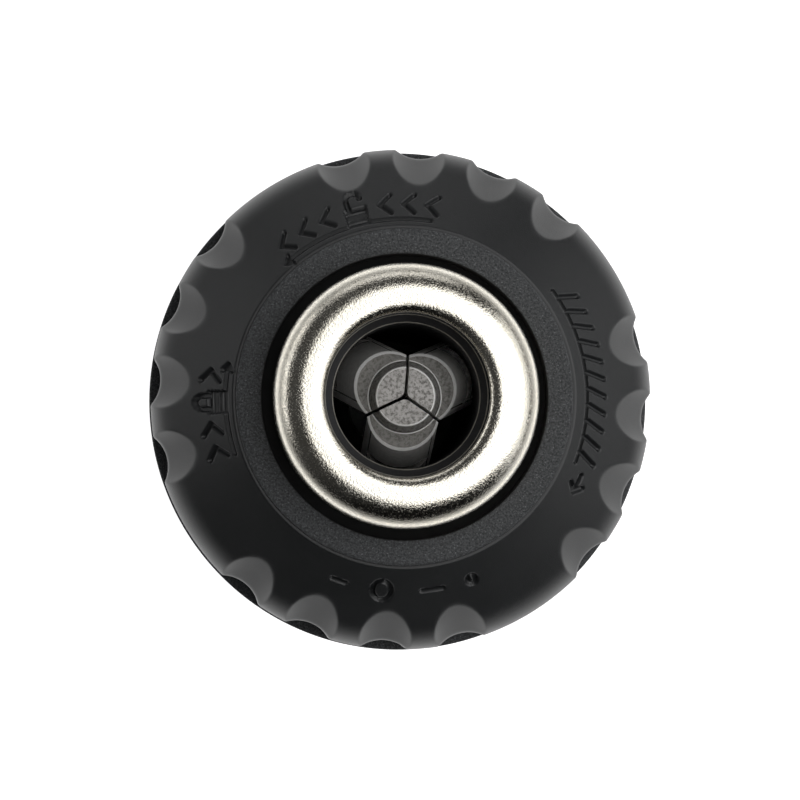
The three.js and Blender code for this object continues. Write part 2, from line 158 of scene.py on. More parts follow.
def spindle_tap(minor, major, pitch, depth, mouth, facets=48, rows=10):
    """The male form of the socket: a screw whose thread has flat crests and rounded roots."""
    heights = [-1.0 + pitch * row / rows for row in range(int((depth + 1.0) / pitch * rows))]
    verts, faces = [], []
    for height in heights + [depth]:
        for step in range(facets):
            angle = TAU * step / facets
            phase = (height / pitch - step / facets) % 1
            thread = minor + (major - minor) * max(0.0, 1.15 - abs(phase - 0.5) * 2.6)
            radius = min(max(thread, minor), major)
            if height > depth - pitch:
                radius = minor
            radius = max(radius, mouth - max(height, -1.0))
            verts.append((radius * math.cos(angle), radius * math.sin(angle), height))
    for row in range(len(heights)):
        for step in range(facets):
            ahead = (step + 1) % facets
            low, high = row * facets, (row + 1) * facets
            faces.append([low + step, low + ahead, high + ahead, high + step])
    faces.append(list(range(facets)))
    faces.append([len(heights) * facets + step for step in range(facets)])
    return new_piece("spindle_tap", verts, faces)


chuck_body = turned(
    "body_steel_part",
    outline(
        (0, 0),
        (10.5, 0, 0.5),
        (10.5, 17.6),
        (16.1, 17.6, 0.3),
        (16.1, 20.6, 0.3),
        (13.2, 20.6),
        (13.2, 24.9, 0.3),
        (10.95, 24.9),
        (8.9, 31.7),
        (10.4, 31.7, 0.3),
        (10.4, 44.0, 0.3),
        (9.6, 44.6),
        (9.6, 46.5, 0.3),
        (8.85, 46.5),
        (8.85, 54.95, 0.4),
        (7.82, 55.95, 0.6),
        (7.25, 55.9, 0.3),
        (6.45, 55.25, 0.2),
        (0, 55.25),
    ),
    facets=160,
)
bore = turned(
    "bore",
    outline((0, 20.5), (5.42, 20.5, 0.4), (5.42, 54.35, 0.25), (6.05, 54.98, 0.2), (6.05, 58), (0, 58)),
    facets=160,
)
screw_hole = turned("screw_hole", outline((0, 10), (3.25, 10), (3.25, 22), (0, 22)), facets=64)
cut(chuck_body, bore, screw_hole, spindle_tap(5.65, 6.35, 1.27, 17.0, 6.6))
cut(chuck_body, *[leaning_bar("passage", 2.8, -6, 52, azimuth, facets=64) for azimuth in JAW_AZIMUTHS])


class Wire:
    """An output socket that takes part in sums. Each operator adds the Math node it stands for."""

    def __init__(self, recipe, socket):
        self.recipe = recipe
        self.socket = socket

    def math(self, operation, *others):
        inputs = dict(enumerate((self, *others)))
        return self.recipe.node("ShaderNodeMath", {"operation": operation}, inputs)

    def flipped(self, operation, other):
        inputs = {0: other, 1: self}
        return self.recipe.node("ShaderNodeMath", {"operation": operation}, inputs)

    def __add__(self, other):
        return self.math("ADD", other)

    def __radd__(self, other):
        return self.flipped("ADD", other)

    def __sub__(self, other):
        return self.math("SUBTRACT", other)

    def __rsub__(self, other):
        return self.flipped("SUBTRACT", other)

    def __mul__(self, other):
        return self.math("MULTIPLY", other)

    def __rmul__(self, other):
        return self.flipped("MULTIPLY", other)

    def __truediv__(self, other):
        return self.math("DIVIDE", other)


class Recipe:
    """A node tree that is being filled in."""

    def __init__(self, tree):
        self.tree = tree

    def node(self, kind, settings=None, inputs=None, output=0):
        """Adds a node: its settings first, then the values or wires of its sockets."""
        made = self.tree.nodes.new(kind)
        for name, value in (settings or {}).items():
            if name == "stops":
                self.set_stops(made.color_ramp, value)
            else:
                setattr(made, name, value)
        for name, value in (inputs or {}).items():
            self.feed(made.inputs[name], value)
        return Wire(self, made.outputs[output])

    def feed(self, socket, value):
        if isinstance(value, Wire):
            self.tree.links.new(value.socket, socket)
        else:
            socket.default_value = value

    def set_stops(self, ramp, stops):
        while len(ramp.elements) < len(stops):
            ramp.elements.new(1.0)
        for element, (position, shade) in zip(ramp.elements, stops):
            element.position = position
            element.color = (shade, shade, shade, 1.0)


class Finish(Recipe):
    """A procedural material round one Principled shader. Values that don't vary go on the shader."""

    def __init__(self, name, **uniform):
        self.material = bpy.data.materials.new(name)
        self.material.use_nodes = True
        super().__init__(self.material.node_tree)
        self.shader = self.tree.nodes["Principled BSDF"]
        self.place = self.node("ShaderNodeTexCoord", output="Object")
        for socket, value in uniform.items():
            self.shader.inputs[socket.replace("_", " ")].default_value = value

    def noise(self, size, detail=3.0, roughness=0.6):
        """Cloudy noise whose features are about size millimetres across."""
        inputs = {"Vector": self.place, "Scale": 1 / (size * MM), "Detail": detail, "Roughness": roughness}
        return self.node("ShaderNodeTexNoise", inputs=inputs)

    def between(self, wire, low, high):
        """0 below low, 1 above high, with a soft step between."""
        settings = {"interpolation_type": "SMOOTHSTEP"}
        return self.node("ShaderNodeMapRange", settings, {"Value": wire, "From Min": low, "From Max": high})

    def blend(self, factor, first, second):
        inputs = {0: factor, 6: (*first, 1.0), 7: (*second, 1.0)}
        return self.node("ShaderNodeMix", {"data_type": "RGBA"}, inputs, output=2)

    def bump(self, height, depth):
        """Relief of a depth in millimetres for the shader's normal."""
        inputs = {"Strength": 1.0, "Distance": depth * MM, "Height": height}
        self.feed(self.shader.inputs["Normal"], self.node("ShaderNodeBump", inputs=inputs))

    def set(self, socket, wire):
        self.feed(self.shader.inputs[socket], wire)

    def on(self, piece):
        piece.data.materials.clear()
        piece.data.materials.append(self.material)


phosphate = Finish("phosphated_steel", Metallic=0.6)
phosphate_cloud = phosphate.noise(2.5)
phosphate_grain = phosphate.noise(0.12, detail=2.0)
phosphate.set("Base Color", phosphate.blend(phosphate_cloud, (0.018, 0.018, 0.019), (0.045, 0.045, 0.047)))
phosphate.set("Roughness", phosphate.between(phosphate_grain, 0.2, 0.8) * 0.25 + 0.5)
phosphate.bump(phosphate_grain, 0.01)
phosphate.on(chuck_body)

# Light rims on the thin edge faces of the bore's mouth: painted highlight, a much lighter steel colour than
# the phosphate round it.
lip_highlight = Finish("bare_lip_steel", Metallic=0.7)
lip_highlight_cloud = lip_highlight.noise(0.8)
lip_highlight.set("Base Color", lip_highlight.blend(lip_highlight_cloud, (0.2, 0.19, 0.16), (0.6, 0.58, 0.52)))
lip_highlight.set("Roughness", lip_highlight_cloud * 0.2 + 0.35)
chuck_body.data.materials.append(lip_highlight.material)
for face in chuck_body.data.polygons:
    spot = face.center / MM
    if spot.z > 54.1 and (5.97 < spot.xy.length < 6.1 or 5.42 < spot.xy.length < 5.52):
        face.material_index = 1

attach(chuck_body, "body")
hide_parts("chuck_body")

# ---- Thrust bearing ----------------------------------------------------------------------
# Two ground washers with a ring of hard steel balls between them, spaced by a stamped brass cage.
# The rear washer stays on the body's ledge and the front one turns with the nut.

BALL_PLANE = 22.81
BALL_CIRCLE = 14.7
BALL_COUNT = 18

bright = Finish("bearing_steel", Metallic=1.0)
bright_cloud = bright.noise(1.4)
bright.set("Base Color", bright.blend(bright_cloud, (0.62, 0.63, 0.65), (0.74, 0.74, 0.75)))
bright.set("Roughness", bright_cloud * 0.12 + 0.1)

for washer, rides_on, low in [("rear_race", "body", 20.75), ("front_race", "sleeve", 23.87)]:
    high = low + 1.0
    corners = [(13.5, low, 0.15), (16.1, low, 0.15), (16.1, high, 0.15), (13.5, high, 0.15)]
    race = turned(f"{washer}_ground", outline(*corners, steps=3))
    bright.on(race)
    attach(race, rides_on)
    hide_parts(washer)

CAGE_LOW = BALL_PLANE - 0.45
CAGE_HIGH = BALL_PLANE + 0.45
cage = turned(
    "ball_cage_stamped",
    outline(
        (13.3, CAGE_LOW, 0.1),
        (16.15, CAGE_LOW, 0.1),
        (16.15, CAGE_HIGH, 0.1),
        (13.3, CAGE_HIGH, 0.1),
        steps=3,
    ),
)
pockets = []
for number in range(BALL_COUNT):
    pocket = turned("pocket", outline((0, -2), (1.12, -2), (1.12, 2), (0, 2)), facets=32)
    spot = Matrix.Translation((BALL_CIRCLE * MM, 0, BALL_PLANE * MM))
    pockets.append(place(pocket, Matrix.Rotation(TAU * number / BALL_COUNT, 4, "Z") @ spot))
cut(cage, *pockets)

brass = Finish("stamped_brass", Metallic=1.0)
brass_cloud = brass.noise(1.8)
brass.set("Base Color", brass.blend(brass_cloud, (0.52, 0.36, 0.13), (0.68, 0.5, 0.22)))
brass.set("Roughness", brass_cloud * 0.2 + 0.25)
brass.on(cage)
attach(cage, "bearing")
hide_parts("ball_cage")


def new_tree(name, **sizes):
    """A geometry tree with a named input for each size, and its recipe and wires."""
    tree = bpy.data.node_groups.new(name, "GeometryNodeTree")
    tree.interface.new_socket("Geometry", in_out="INPUT", socket_type="NodeSocketGeometry")
    for size, kind in sizes.items():
        tree.interface.new_socket(size, in_out="INPUT", socket_type=f"NodeSocket{kind}")
    tree.interface.new_socket("Geometry", in_out="OUTPUT", socket_type="NodeSocketGeometry")
    recipe = Recipe(tree)
    entry = tree.nodes.new("NodeGroupInput")
    wires = {socket.name: Wire(recipe, socket) for socket in entry.outputs if socket.name}
    return recipe, wires


def end_tree(recipe, geometry, finish):
    """Ends a tree in real geometry with its material."""
    real = recipe.node("GeometryNodeRealizeInstances", inputs={"Geometry": geometry})
    settings = {"Geometry": real, "Material": finish.material}
    painted = recipe.node("GeometryNodeSetMaterial", inputs=settings)
    leave = recipe.tree.nodes.new("NodeGroupOutput")
    recipe.tree.links.new(painted.socket, leave.inputs["Geometry"])


def run_tree(piece, recipe, **sizes):
    """Runs a tree on a piece with these sizes, and keeps the result as a plain mesh."""
    work = piece.modifiers.new(recipe.tree.name, "NODES")
    work.node_group = recipe.tree
    for item in recipe.tree.interface.items_tree:
        if item.in_out == "INPUT" and item.name in sizes:
            work[item.identifier] = sizes[item.name]
    return settle(piece)


ball_tree, given = new_tree("ball_ring", Count="Int", Circle="Float", Radius="Float", Height="Float")
circle_inputs = {"Vertices": given["Count"], "Radius": given["Circle"]}
ring = ball_tree.node("GeometryNodeMeshCircle", inputs=circle_inputs)
ball_shape = ball_tree.node(
    "GeometryNodeMeshUVSphere", inputs={"Segments": 32, "Rings": 16, "Radius": given["Radius"]}
)
ball_shape = ball_tree.node("GeometryNodeSetShadeSmooth", inputs={"Geometry": ball_shape})
ball_set = ball_tree.node("GeometryNodeInstanceOnPoints", inputs={"Points": ring, "Instance": ball_shape})
lift = ball_tree.node("ShaderNodeCombineXYZ", inputs={"Z": given["Height"]})
lift_inputs = {"Instances": ball_set, "Translation": lift}
ball_set = ball_tree.node("GeometryNodeTranslateInstances", inputs=lift_inputs)
end_tree(ball_tree, ball_set, bright)

balls = new_piece("thrust_balls", [], [])
run_tree(balls, ball_tree, Count=BALL_COUNT, Circle=BALL_CIRCLE * MM, Radius=MM, Height=BALL_PLANE * MM)
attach(balls, "bearing")
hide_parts(*[f"ball_{number + 1:02d}" for number in range(BALL_COUNT)])

# ---- Nut and collar ----------------------------------------------------------------------
# The nut has a right-hand thread on a cone, in step with the teeth on the jaws' backs. It is
# cracked in two to go round the body, and a pressed collar holds it and carries the drive lugs.

LEAD = 2.0
THREAD_PHASE = 29.2
CREST = 2.0
ROOT = 2.85
CREST_HALF = 0.32
FLANK = math.tan(math.radians(20))
NUT_LOW = 25.05
NUT_HIGH = 31.05


def nut_bore(angle, height):
    """The bore's radius where the ridge or the root lies, for one direction and height."""
    best = 0.0
    for n in (ROOT, CREST):
        u = (TIP_HEIGHT - height + n * math.sin(LEAN)) / math.cos(LEAN)
        off = (u - THREAD_PHASE + LEAD * angle / TAU + LEAD / 2) % LEAD - LEAD / 2
        stands = min(ROOT, max(CREST, CREST + (abs(off) - CREST_HALF) / FLANK))
        best = best or along_jaw(u, stands)[0]
    return best


def threaded_ring(name, facets=180, rows=60):
    """The nut's blank with its thread already in the bore."""
    verts, faces = [], []
    outer = [(14.3, NUT_HIGH), (14.3, NUT_LOW)]
    heights = [NUT_LOW + (NUT_HIGH - NUT_LOW) * row / rows for row in range(rows + 1)]
    size = len(heights) + len(outer)
    for step in range(facets):
        angle = TAU * step / facets
        section = [(nut_bore(angle, height), height) for height in heights] + outer
        verts += [(radius * math.cos(angle), radius * math.sin(angle), height) for radius, height in section]
    for step in range(facets):
        here, ahead = step * size, (step + 1) % facets * size
        for number in range(size):
            after = (number + 1) % size
            faces.append([here + number, ahead + number, ahead + after, here + after])
    return new_piece(name, verts, faces)


oiled = Finish("oiled_nut_steel", Metallic=0.9)
oiled_cloud = oiled.noise(1.6)
oiled.set("Base Color", oiled.blend(oiled_cloud, (0.1, 0.095, 0.088), (0.24, 0.23, 0.21)))
oiled.set("Roughness", oiled_cloud * 0.2 + 0.22)


def block(name, x, y, z):
    """A plain tool body for cutting."""
    corners = [(a, b, c) for a in x for b in y for c in z]
    sides = [[0, 1, 3, 2], [4, 6, 7, 5], [0, 4, 5, 1], [2, 3, 7, 6], [0, 2, 6, 4], [1, 5, 7, 3]]
    return new_piece(name, corners, sides)


for side, keep in [("left", (0.15, 20)), ("right", (-20, -0.15))]:
    half_nut = threaded_ring(f"nut_half_{side}_cracked")
    cut(half_nut, block("keeper", (-20, 20), keep, (20, 40)), keep="INTERSECT")
    oiled.on(half_nut)
    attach(half_nut, "sleeve")
    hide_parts(f"nut_half_{side}")

collar = turned(
    "nut_collar_pressed",
    outline(
        (14.4, NUT_LOW),
        (15.2, NUT_LOW, 0.2),
        (15.2, 31.9, 0.4),
        (11.0, 31.9, 0.2),
        (11.0, 31.2),
        (14.4, 31.2),
    ),
)
lugs = []
for number in range(4):
    lug = block("lug", (14.7, 16.0), (-2.0, 2.0), (25.6, 30.6))
    lugs.append(place(lug, Matrix.Rotation(TAU * (number + 0.5) / 4, 4, "Z")))
cut(collar, *lugs, keep="UNION")
oiled.on(collar)
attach(collar, "sleeve")
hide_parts("nut_collar")

# ---- Jaws --------------------------------------------------------------------------------
# Three hardened rods ground flat on two sides, so that they close on one another. The tips make a
# small round boss, and the backs are cut with tooth gaps set to the nut's helix.

ROD = 2.7
ROD_LENGTH = 28.0
SHELF = 51.2
JAW_GAP = 0.24
GRIP_EDGE = 0.6
BOSS_ROOT = 2.7
BOSS_TIP = 2.2
SHELF_BEVEL = 0.17
FIRST_TOOTH = 6.6
FLANK_PLAY = 0.22
CREST_PLAY = 0.3


def jaw_sector(azimuth):
    """The third of the round that a jaw may fill: two upright faces and a rounded edge."""
    half = math.radians(60)
    middle = (JAW_GAP / 2 + GRIP_EDGE) / math.sin(half)
    shape = [(18 * math.cos(half) + 0.104, 18 * math.sin(half) - 0.06)]
    for step in range(13):
        angle = math.pi / 2 + half + (math.pi - 2 * half) * step / 12
        shape.append((middle + GRIP_EDGE * math.cos(angle), GRIP_EDGE * math.sin(angle)))
    shape += [(shape[0][0], -shape[0][1]), (18, -shape[0][1]), (18, shape[0][1])]
    count = len(shape)
    verts = [(x, y, z) for z in (10, 60) for x, y in shape]
    faces = [list(range(count)), [count + number for number in range(count)]]
    for number in range(count):
        after = (number + 1) % count
        faces.append([number, after, count + after, count + number])
    return place(new_piece("sector", verts, faces), Matrix.Rotation(azimuth, 4, "Z"))


def tooth_gaps(azimuth):
    """One tool body for all the gaps of a jaw: rings with the nut's section at the helix angle."""
    middle_n = (CREST + ROOT) / 2
    middle_u = (TIP_HEIGHT - (NUT_LOW + NUT_HIGH) / 2 + middle_n * math.sin(LEAN)) / math.cos(LEAN)
    ring_radius, ring_height = along_jaw(middle_u, middle_n)
    floor, clear = CREST - CREST_PLAY, ROD + 0.6
    section = []
    for side, n in ((1, clear), (-1, clear), (-1, floor), (1, floor)):
        half = CREST_HALF + FLANK_PLAY + (n - CREST) * FLANK
        radius, height = along_jaw(middle_u + side * half, n)
        section.append((radius, height - ring_height))
    helix = math.atan(LEAD * math.cos(LEAN) / (TAU * ring_radius))
    phase = THREAD_PHASE - LEAD * azimuth / TAU
    first = phase - LEAD * math.floor((phase - FIRST_TOOTH) / LEAD)
    rings = bmesh.new()
    for number in range(int((ROD_LENGTH + CREST_HALF - first) / LEAD) + 1):
        radius, height = along_jaw(first + number * LEAD, middle_n)
        ring = turned("gap", outline(*section), facets=120)
        place(ring, Matrix.Rotation(helix, 4, "X"))
        place(ring, Matrix.Translation(((radius - ring_radius) * MM, 0, height * MM)))
        rings.from_mesh(ring.data)
        bpy.data.objects.remove(ring)
    tool = new_piece("tooth_gaps", [], [])
    rings.to_mesh(tool.data)
    rings.free()
    return place(tool, Matrix.Rotation(azimuth, 4, "Z"))


def shelf_edge(azimuth, width):
    """A body that follows the leaning rod and bevels the rim of its shelf."""
    low, high = along_jaw(0), along_jaw(1)
    slope = (high[0] - low[0]) / (high[1] - low[1])
    shape = turned(
        "shelf_edge",
        outline(
            (0, 5),
            (ROD + 5, 5),
            (ROD + 5, SHELF - width - 5),
            (ROD - width, SHELF),
            (ROD - width, 60),
            (0, 60),
        ),
        facets=128,
    )
    follow = Matrix.Identity(4)
    follow[0][0] = 1 / math.cos(LEAN)
    follow[0][2] = slope
    follow[0][3] = (low[0] - low[1] * slope) * MM
    return place(shape, Matrix.Rotation(azimuth, 4, "Z") @ follow)


def share_out(piece):
    """Gives the tip's and the shelf's edges the second material, a painted highlight, and the rod's round
    side the third, which is painted light.
    """
    for face in piece.data.polygons:
        height = face.center.z / MM
        if height > SHELF - 0.4 and 0.35 < abs(face.normal.z) < 0.97:
            face.material_index = 1
        elif 40 < height < SHELF and abs(face.normal.z) < 0.5:
            face.material_index = 2
    piece.data.set_sharp_from_angle(angle=math.radians(12))


ground = Finish("ground_jaw_steel", Metallic=0.35)
ground_cloud = ground.noise(0.9)
ground_pits = ground.between(ground.noise(0.26, detail=4.0, roughness=0.75), 0.36, 0.56)
ground_height = ground.node("ShaderNodeSeparateXYZ", inputs={"Vector": ground.place}, output="Z")
# Below the boss the tone falls to 0.28 of itself: painted shade on the shelf and the teeth.
ground_at_tip = ground.between(ground_height, (SHELF + 0.2) * MM, (SHELF + 0.6) * MM)
ground_tone = (ground_pits * 0.6 + ground_cloud * 0.4) * (ground_at_tip * 0.72 + 0.28)
ground.set("Base Color", ground.blend(ground_tone, (0.085, 0.082, 0.072), (0.42, 0.405, 0.39)))
ground.set("Roughness", 0.66 - ground_pits * 0.18)
ground.bump(ground_pits, 0.012)

# Near-white colour on the edge faces of the tip and the shelf: painted highlight.
edge_highlight = Finish("worn_jaw_edge", Metallic=0.3)
edge_highlight_cloud = edge_highlight.noise(0.5)
edge_highlight.set("Base Color", edge_highlight.blend(edge_highlight_cloud, (0.8, 0.79, 0.77), (0.98, 0.97, 0.95)))
edge_highlight.set("Roughness", edge_highlight_cloud * 0.15 + 0.36)

# The rods' sides deep in the bore get a pale steel colour, so that they look lit there: painted light.
painted_light_rod_side = Finish("jaw_rod_side", Metallic=0.2)
rod_grind = painted_light_rod_side.noise(0.35, detail=3.0, roughness=0.6)
painted_light_rod_side.set("Base Color", painted_light_rod_side.blend(rod_grind, (0.6, 0.59, 0.565), (0.95, 0.935, 0.9)))
painted_light_rod_side.set("Roughness", rod_grind * 0.14 + 0.4)
painted_light_rod_side.bump(rod_grind, 0.01)

for number, azimuth in enumerate(JAW_AZIMUTHS, start=1):
    jaw = leaning_bar(f"jaw_{number}_ground", ROD, -3, ROD_LENGTH, azimuth, chamfer=0.8, facets=128)
    envelope = turned(
        "envelope",
        outline(
            (0, 5),
            (20, 5),
            (20, SHELF),
            (BOSS_ROOT, SHELF, 0.12),
            (BOSS_TIP, TIP_HEIGHT, 0.16),
            (0, TIP_HEIGHT),
        ),
        facets=192,
    )
    cut(jaw, envelope, jaw_sector(azimuth), shelf_edge(azimuth, SHELF_BEVEL), keep="INTERSECT")
    cut(jaw, tooth_gaps(azimuth))
    ground.on(jaw)
    jaw.data.materials.append(edge_highlight.material)
    jaw.data.materials.append(painted_light_rod_side.material)
    share_out(jaw)
    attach(jaw, f"jaw_{number}")
    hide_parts(f"jaw_{number}")

# ---- Front sleeve shell ------------------------------------------------------------------
# Glass-filled nylon, moulded in a spark-eroded tool, so its skin is matt with a fine glitter. The
# narrow ring round the nose is bare, and slots inside take the collar's lugs.

shell = turned(
    "front_sleeve_moulded",
    outline(
        (16.3, 21.2, 0.2),
        (18.3, 21.2, 0.4),
        (18.6, 36.0, 0.2),
        (19.15, 36.2, 0.2),
        (19.15, 37.9, 0.2),
        (17.2, 37.9),
        (17.2, 45.6),
        (12.59, 49.6),
        (12.59, 51.5, 0.22),
        (10.68, 51.5, 0.18),
        (10.68, 48.3),
        (9.1, 48.3, 0.15),
        (9.1, 47.0, 0.15),
        (10.4, 46.9),
        (15.5, 43.0, 0.5),
        (15.5, 25.1, 0.2),
        (16.3, 25.1),
        steps=5,
    ),
    facets=256,
)
slots = []
for number in range(4):
    slot_tool = block("slot", (15.0, 16.25), (-2.2, 2.2), (24.0, 31.5))
    slots.append(place(slot_tool, Matrix.Rotation(TAU * (number + 0.5) / 4, 4, "Z")))
cut(shell, *slots)

nylon = Finish("spark_textured_nylon", Specular_IOR_Level=0.4)
nylon_grain = nylon.noise(0.16, detail=4.0, roughness=0.75)
nylon_glitter = nylon.between(nylon.noise(0.11, detail=1.0), 0.66, 0.72)
nylon_base = nylon.between(nylon_grain, 0.3, 0.75)
nylon_tone = nylon_base * 0.6 + nylon_glitter
nylon.set("Base Color", nylon.blend(nylon_tone, (0.016, 0.017, 0.0178), (0.135, 0.14, 0.146)))
nylon.set("Roughness", 0.78 - nylon_glitter * 0.35)
nylon.bump(nylon_grain, 0.05)
nylon.on(shell)

# Near-black colour on the faces inside the nose ring, where the gap lies in shade: painted shade.
ring_painted_shade = Finish("oil_film_inside_ring")
ring_painted_shade_cloud = ring_painted_shade.noise(1.2)
ring_painted_shade.set("Base Color", ring_painted_shade.blend(ring_painted_shade_cloud, (0.001, 0.001, 0.001), (0.004, 0.004, 0.004)))
ring_painted_shade.set("Roughness", ring_painted_shade_cloud * 0.2 + 0.7)
shell.data.materials.append(ring_painted_shade.material)
for face in shell.data.polygons:
    spot = face.center / MM
    if spot.z > 46.5 and spot.xy.length < 10.72:
        face.material_index = 1
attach(shell, "sleeve")
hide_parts("front_sleeve")

# ---- Front sleeve grip -------------------------------------------------------------------
# A soft-touch skin moulded over the shell. Sixteen finger flutes stand in four groups and run out
# on the cone, and shallow marks there show which way to turn, the spindle and the range.

GROUP_MIDDLE = 81.5
CONE_FOOT = (17.357, 47.174)
CONE_TOP = (12.85, 50.956)


def ladder(first, last, count):
    """Points from first to last in equal steps, without the last."""
    step = (Vector(last) - Vector(first)) / count
    return [Vector(first) + step * number for number in range(count)]


def arc(middle, radius, start, end, count):
    """Points on an arc from one angle to another, in degrees, without the last."""
    points = []
    for number in range(count):
        angle = math.radians(start + (end - start) * number / count)
        points.append(Vector(middle) + Vector((math.cos(angle), math.sin(angle))) * radius)
    return points


def smaller(first, second, softness):
    """The smaller of two wires, with the corner between them rounded."""
    return first.math("SMOOTH_MIN", second, softness)


def larger(first, second, softness):
    """The larger of two wires, rounded in the same way."""
    return first.math("SMOOTH_MAX", second, softness)


flutes, given = new_tree(
    "finger_flutes",
    HalfWidth="Float",
    Hollow="Float",
    Floor="Float",
    Knee="Float",
    Lean="Float",
    TipRadius="Float",
    TipHeight="Float",
    Start="Float",
    Runout="Float",
    Middle="Float",
    Softness="Float",
)
here = flutes.node("GeometryNodeInputPosition")
split = flutes.node("ShaderNodeSeparateXYZ", inputs={0: here})
x_at, y_at, z_at = [Wire(flutes, socket) for socket in split.socket.node.outputs]
radius_at = (x_at * x_at + y_at * y_at).math("SQRT")
azimuth_at = y_at.math("ARCTAN2", x_at)
in_group = (azimuth_at - given["Middle"]).math("WRAP", TAU / 8, -TAU / 8)
spacing = math.radians(18)
flute_number = (in_group / spacing + 1.5).math("ROUND").math("MINIMUM", 3.0).math("MAXIMUM", 0.0)
off_flute = in_group - (flute_number - 1.5) * spacing
below_start = (given["Start"] - z_at).math("MAXIMUM", 0.0)
upright = given["Floor"] + below_start * below_start / (given["Runout"] * 2)
leaning = given["Floor"] - (z_at - given["Knee"]) * given["Lean"].math("TANGENT")
scooped = given["TipRadius"] + (given["TipHeight"] - z_at) * 0.3
floor_at = smaller(upright, larger(leaning, scooped, given["Softness"]), given["Softness"])
across = radius_at * off_flute.math("SINE") / given["HalfWidth"]
rise = given["Hollow"] * (1 - (1 - across * across).math("MAXIMUM", 0.0).math("SQRT"))
flute_radius = (floor_at + rise) / off_flute.math("COSINE")
new_radius = smaller(radius_at, flute_radius, given["Softness"])
shrink = new_radius / radius_at
moved = flutes.node("ShaderNodeCombineXYZ", inputs={"X": x_at * shrink, "Y": y_at * shrink, "Z": z_at})
fluted = flutes.node("GeometryNodeSetPosition", inputs={"Geometry": given["Geometry"], "Position": moved})

soft = Finish("soft_touch_grip", Specular_IOR_Level=0.52)
soft_cloud = soft.noise(6.0)
soft_grain = soft.noise(0.09, detail=2.0)
soft_dust = soft.between(soft.noise(0.3, detail=1.0), 0.74, 0.78)
soft_tone = soft_cloud * 0.5 + soft_dust * 0.5
soft.set("Base Color", soft.blend(soft_tone, (0.006, 0.0068, 0.0075), (0.014, 0.015, 0.016)))
soft.set("Roughness", soft_cloud * 0.12 + 0.37)
soft.bump(soft_grain, 0.012)
end_tree(flutes, fluted, soft)

grip_profile = [
    *ladder((17.3, 38.1), (18.8, 38.1), 1),
    *ladder((18.8, 38.1), (19.0, 38.3), 2),
    *ladder((19.0, 38.3), (19.0, 43.65), 4),
    *arc((14.4, 43.65), 4.6, 0, 50, 18),
    *ladder(CONE_FOOT, (15.5, 48.732), 12),
    *ladder((15.5, 48.732), CONE_TOP, 39),
    *ladder(CONE_TOP, (12.62, 50.95), 2),
    *ladder((12.62, 50.95), (17.3, 45.7), 2),
]
grip = turned("front_sleeve_soft_grip", grip_profile, facets=1200)
run_tree(
    grip,
    flutes,
    HalfWidth=2.2 * MM,
    Hollow=1.5 * MM,
    Floor=18.3 * MM,
    Knee=44.5 * MM,
    Lean=math.radians(31),
    TipRadius=15.85 * MM,
    TipHeight=48.43 * MM,
    Start=0.0,
    Runout=2.0 * MM,
    Middle=math.radians(GROUP_MIDDLE),
    Softness=0.16 * MM,
)


def on_cone(azimuth, radius):
    """A point on the cone's face, azimuth in degrees."""
    slope = (CONE_TOP[1] - CONE_FOOT[1]) / (CONE_TOP[0] - CONE_FOOT[0])
    height = CONE_FOOT[1] + (radius - CONE_FOOT[0]) * slope
    angle = math.radians(azimuth)
    return (radius * math.cos(angle), radius * math.sin(angle), height)


MARK_RADIUS = 14.55


class Marks:
    """Strokes on the cone, each laid out flat in millimetres about a middle azimuth and radius."""

    def __init__(self):
        self.points = []
        self.edges = []

    def stroke(self, azimuth, *flat):
        """A line through flat points: x runs clockwise round the cone and y away from the nose."""
        start = len(self.points)
        for x, y in flat:
            self.points.append(on_cone(azimuth - math.degrees(x / MARK_RADIUS), MARK_RADIUS + y))
        self.edges += [(start + number, start + number + 1) for number in range(len(flat) - 1)]

    def curve(self, azimuth, x, y, radius, start, end, steps=24):
        """An arc in the flat layout, in degrees."""
        angles = [math.radians(start + (end - start) * step / steps) for step in range(steps + 1)]
        self.stroke(azimuth, *[(x + radius * math.cos(a), y + radius * math.sin(a)) for a in angles])

    def padlock(self, azimuth, lift):
        """A padlock, whose shackle stands open when lifted."""
        for row in range(5):
            self.stroke(azimuth, (-0.72, -1.0 + 0.25 * row), (0.72, -1.0 + 0.25 * row))
        self.curve(azimuth, 0, 0.5 + lift, 0.5, 0, 180, 16)
        self.stroke(azimuth, (-0.5, 0.5 + lift), (-0.5, 0))
        if not lift:
            self.stroke(azimuth, (0.5, 0.5), (0.5, 0))

    def chevron(self, azimuth, turn):
        """An arrow head that points clockwise for turn 1 and the other way for -1."""
        self.stroke(azimuth, (-0.4 * turn, 0.7), (0.4 * turn, 0), (-0.4 * turn, -0.7))

    def sweep(self, start, end, radius, turn):
        """A long arc round the nose, with an arrow head at its end."""
        steps = 40
        angles = [start + (end - start) * step / steps for step in range(steps + 1)]
        first = len(self.points)
        self.points += [on_cone(angle, radius) for angle in angles]
        self.edges += [(first + number, first + number + 1) for number in range(steps)]
        y = radius - MARK_RADIUS
        self.stroke(end, (-0.5 * turn, y + 0.35), (0, y), (-0.5 * turn, y - 0.35))


marks = Marks()
for azimuth in (86, 93, 100, 118, 125, 132):
    marks.chevron(azimuth, turn=-1)
marks.padlock(109, lift=0.25)
marks.sweep(86, 136, 13.35, turn=-1)
for azimuth in (201, 194, 178):
    marks.chevron(azimuth, turn=1)
marks.padlock(186, lift=0.0)
marks.sweep(203, 174, 13.35, turn=1)
for azimuth in range(-14, 38, 5):
    marks.stroke(azimuth, (-0.3, -0.6), (0.3, 0.6))
marks.stroke(0, *[(math.radians(-azimuth) * MARK_RADIUS, -0.85) for azimuth in range(-16, 41, 2)])
marks.stroke(-22, (-0.7, 0), (0.6, 0))
marks.stroke(-22, (0.1, 0.5), (0.65, 0), (0.1, -0.5))
marks.curve(295, 0, 0, 0.32, 0, 360)
marks.stroke(283, (-0.8, 0), (0.8, 0))
marks.curve(268, 0, 0, 0.7, 0, 360)
marks.stroke(255, (-0.55, 0), (0.55, 0))

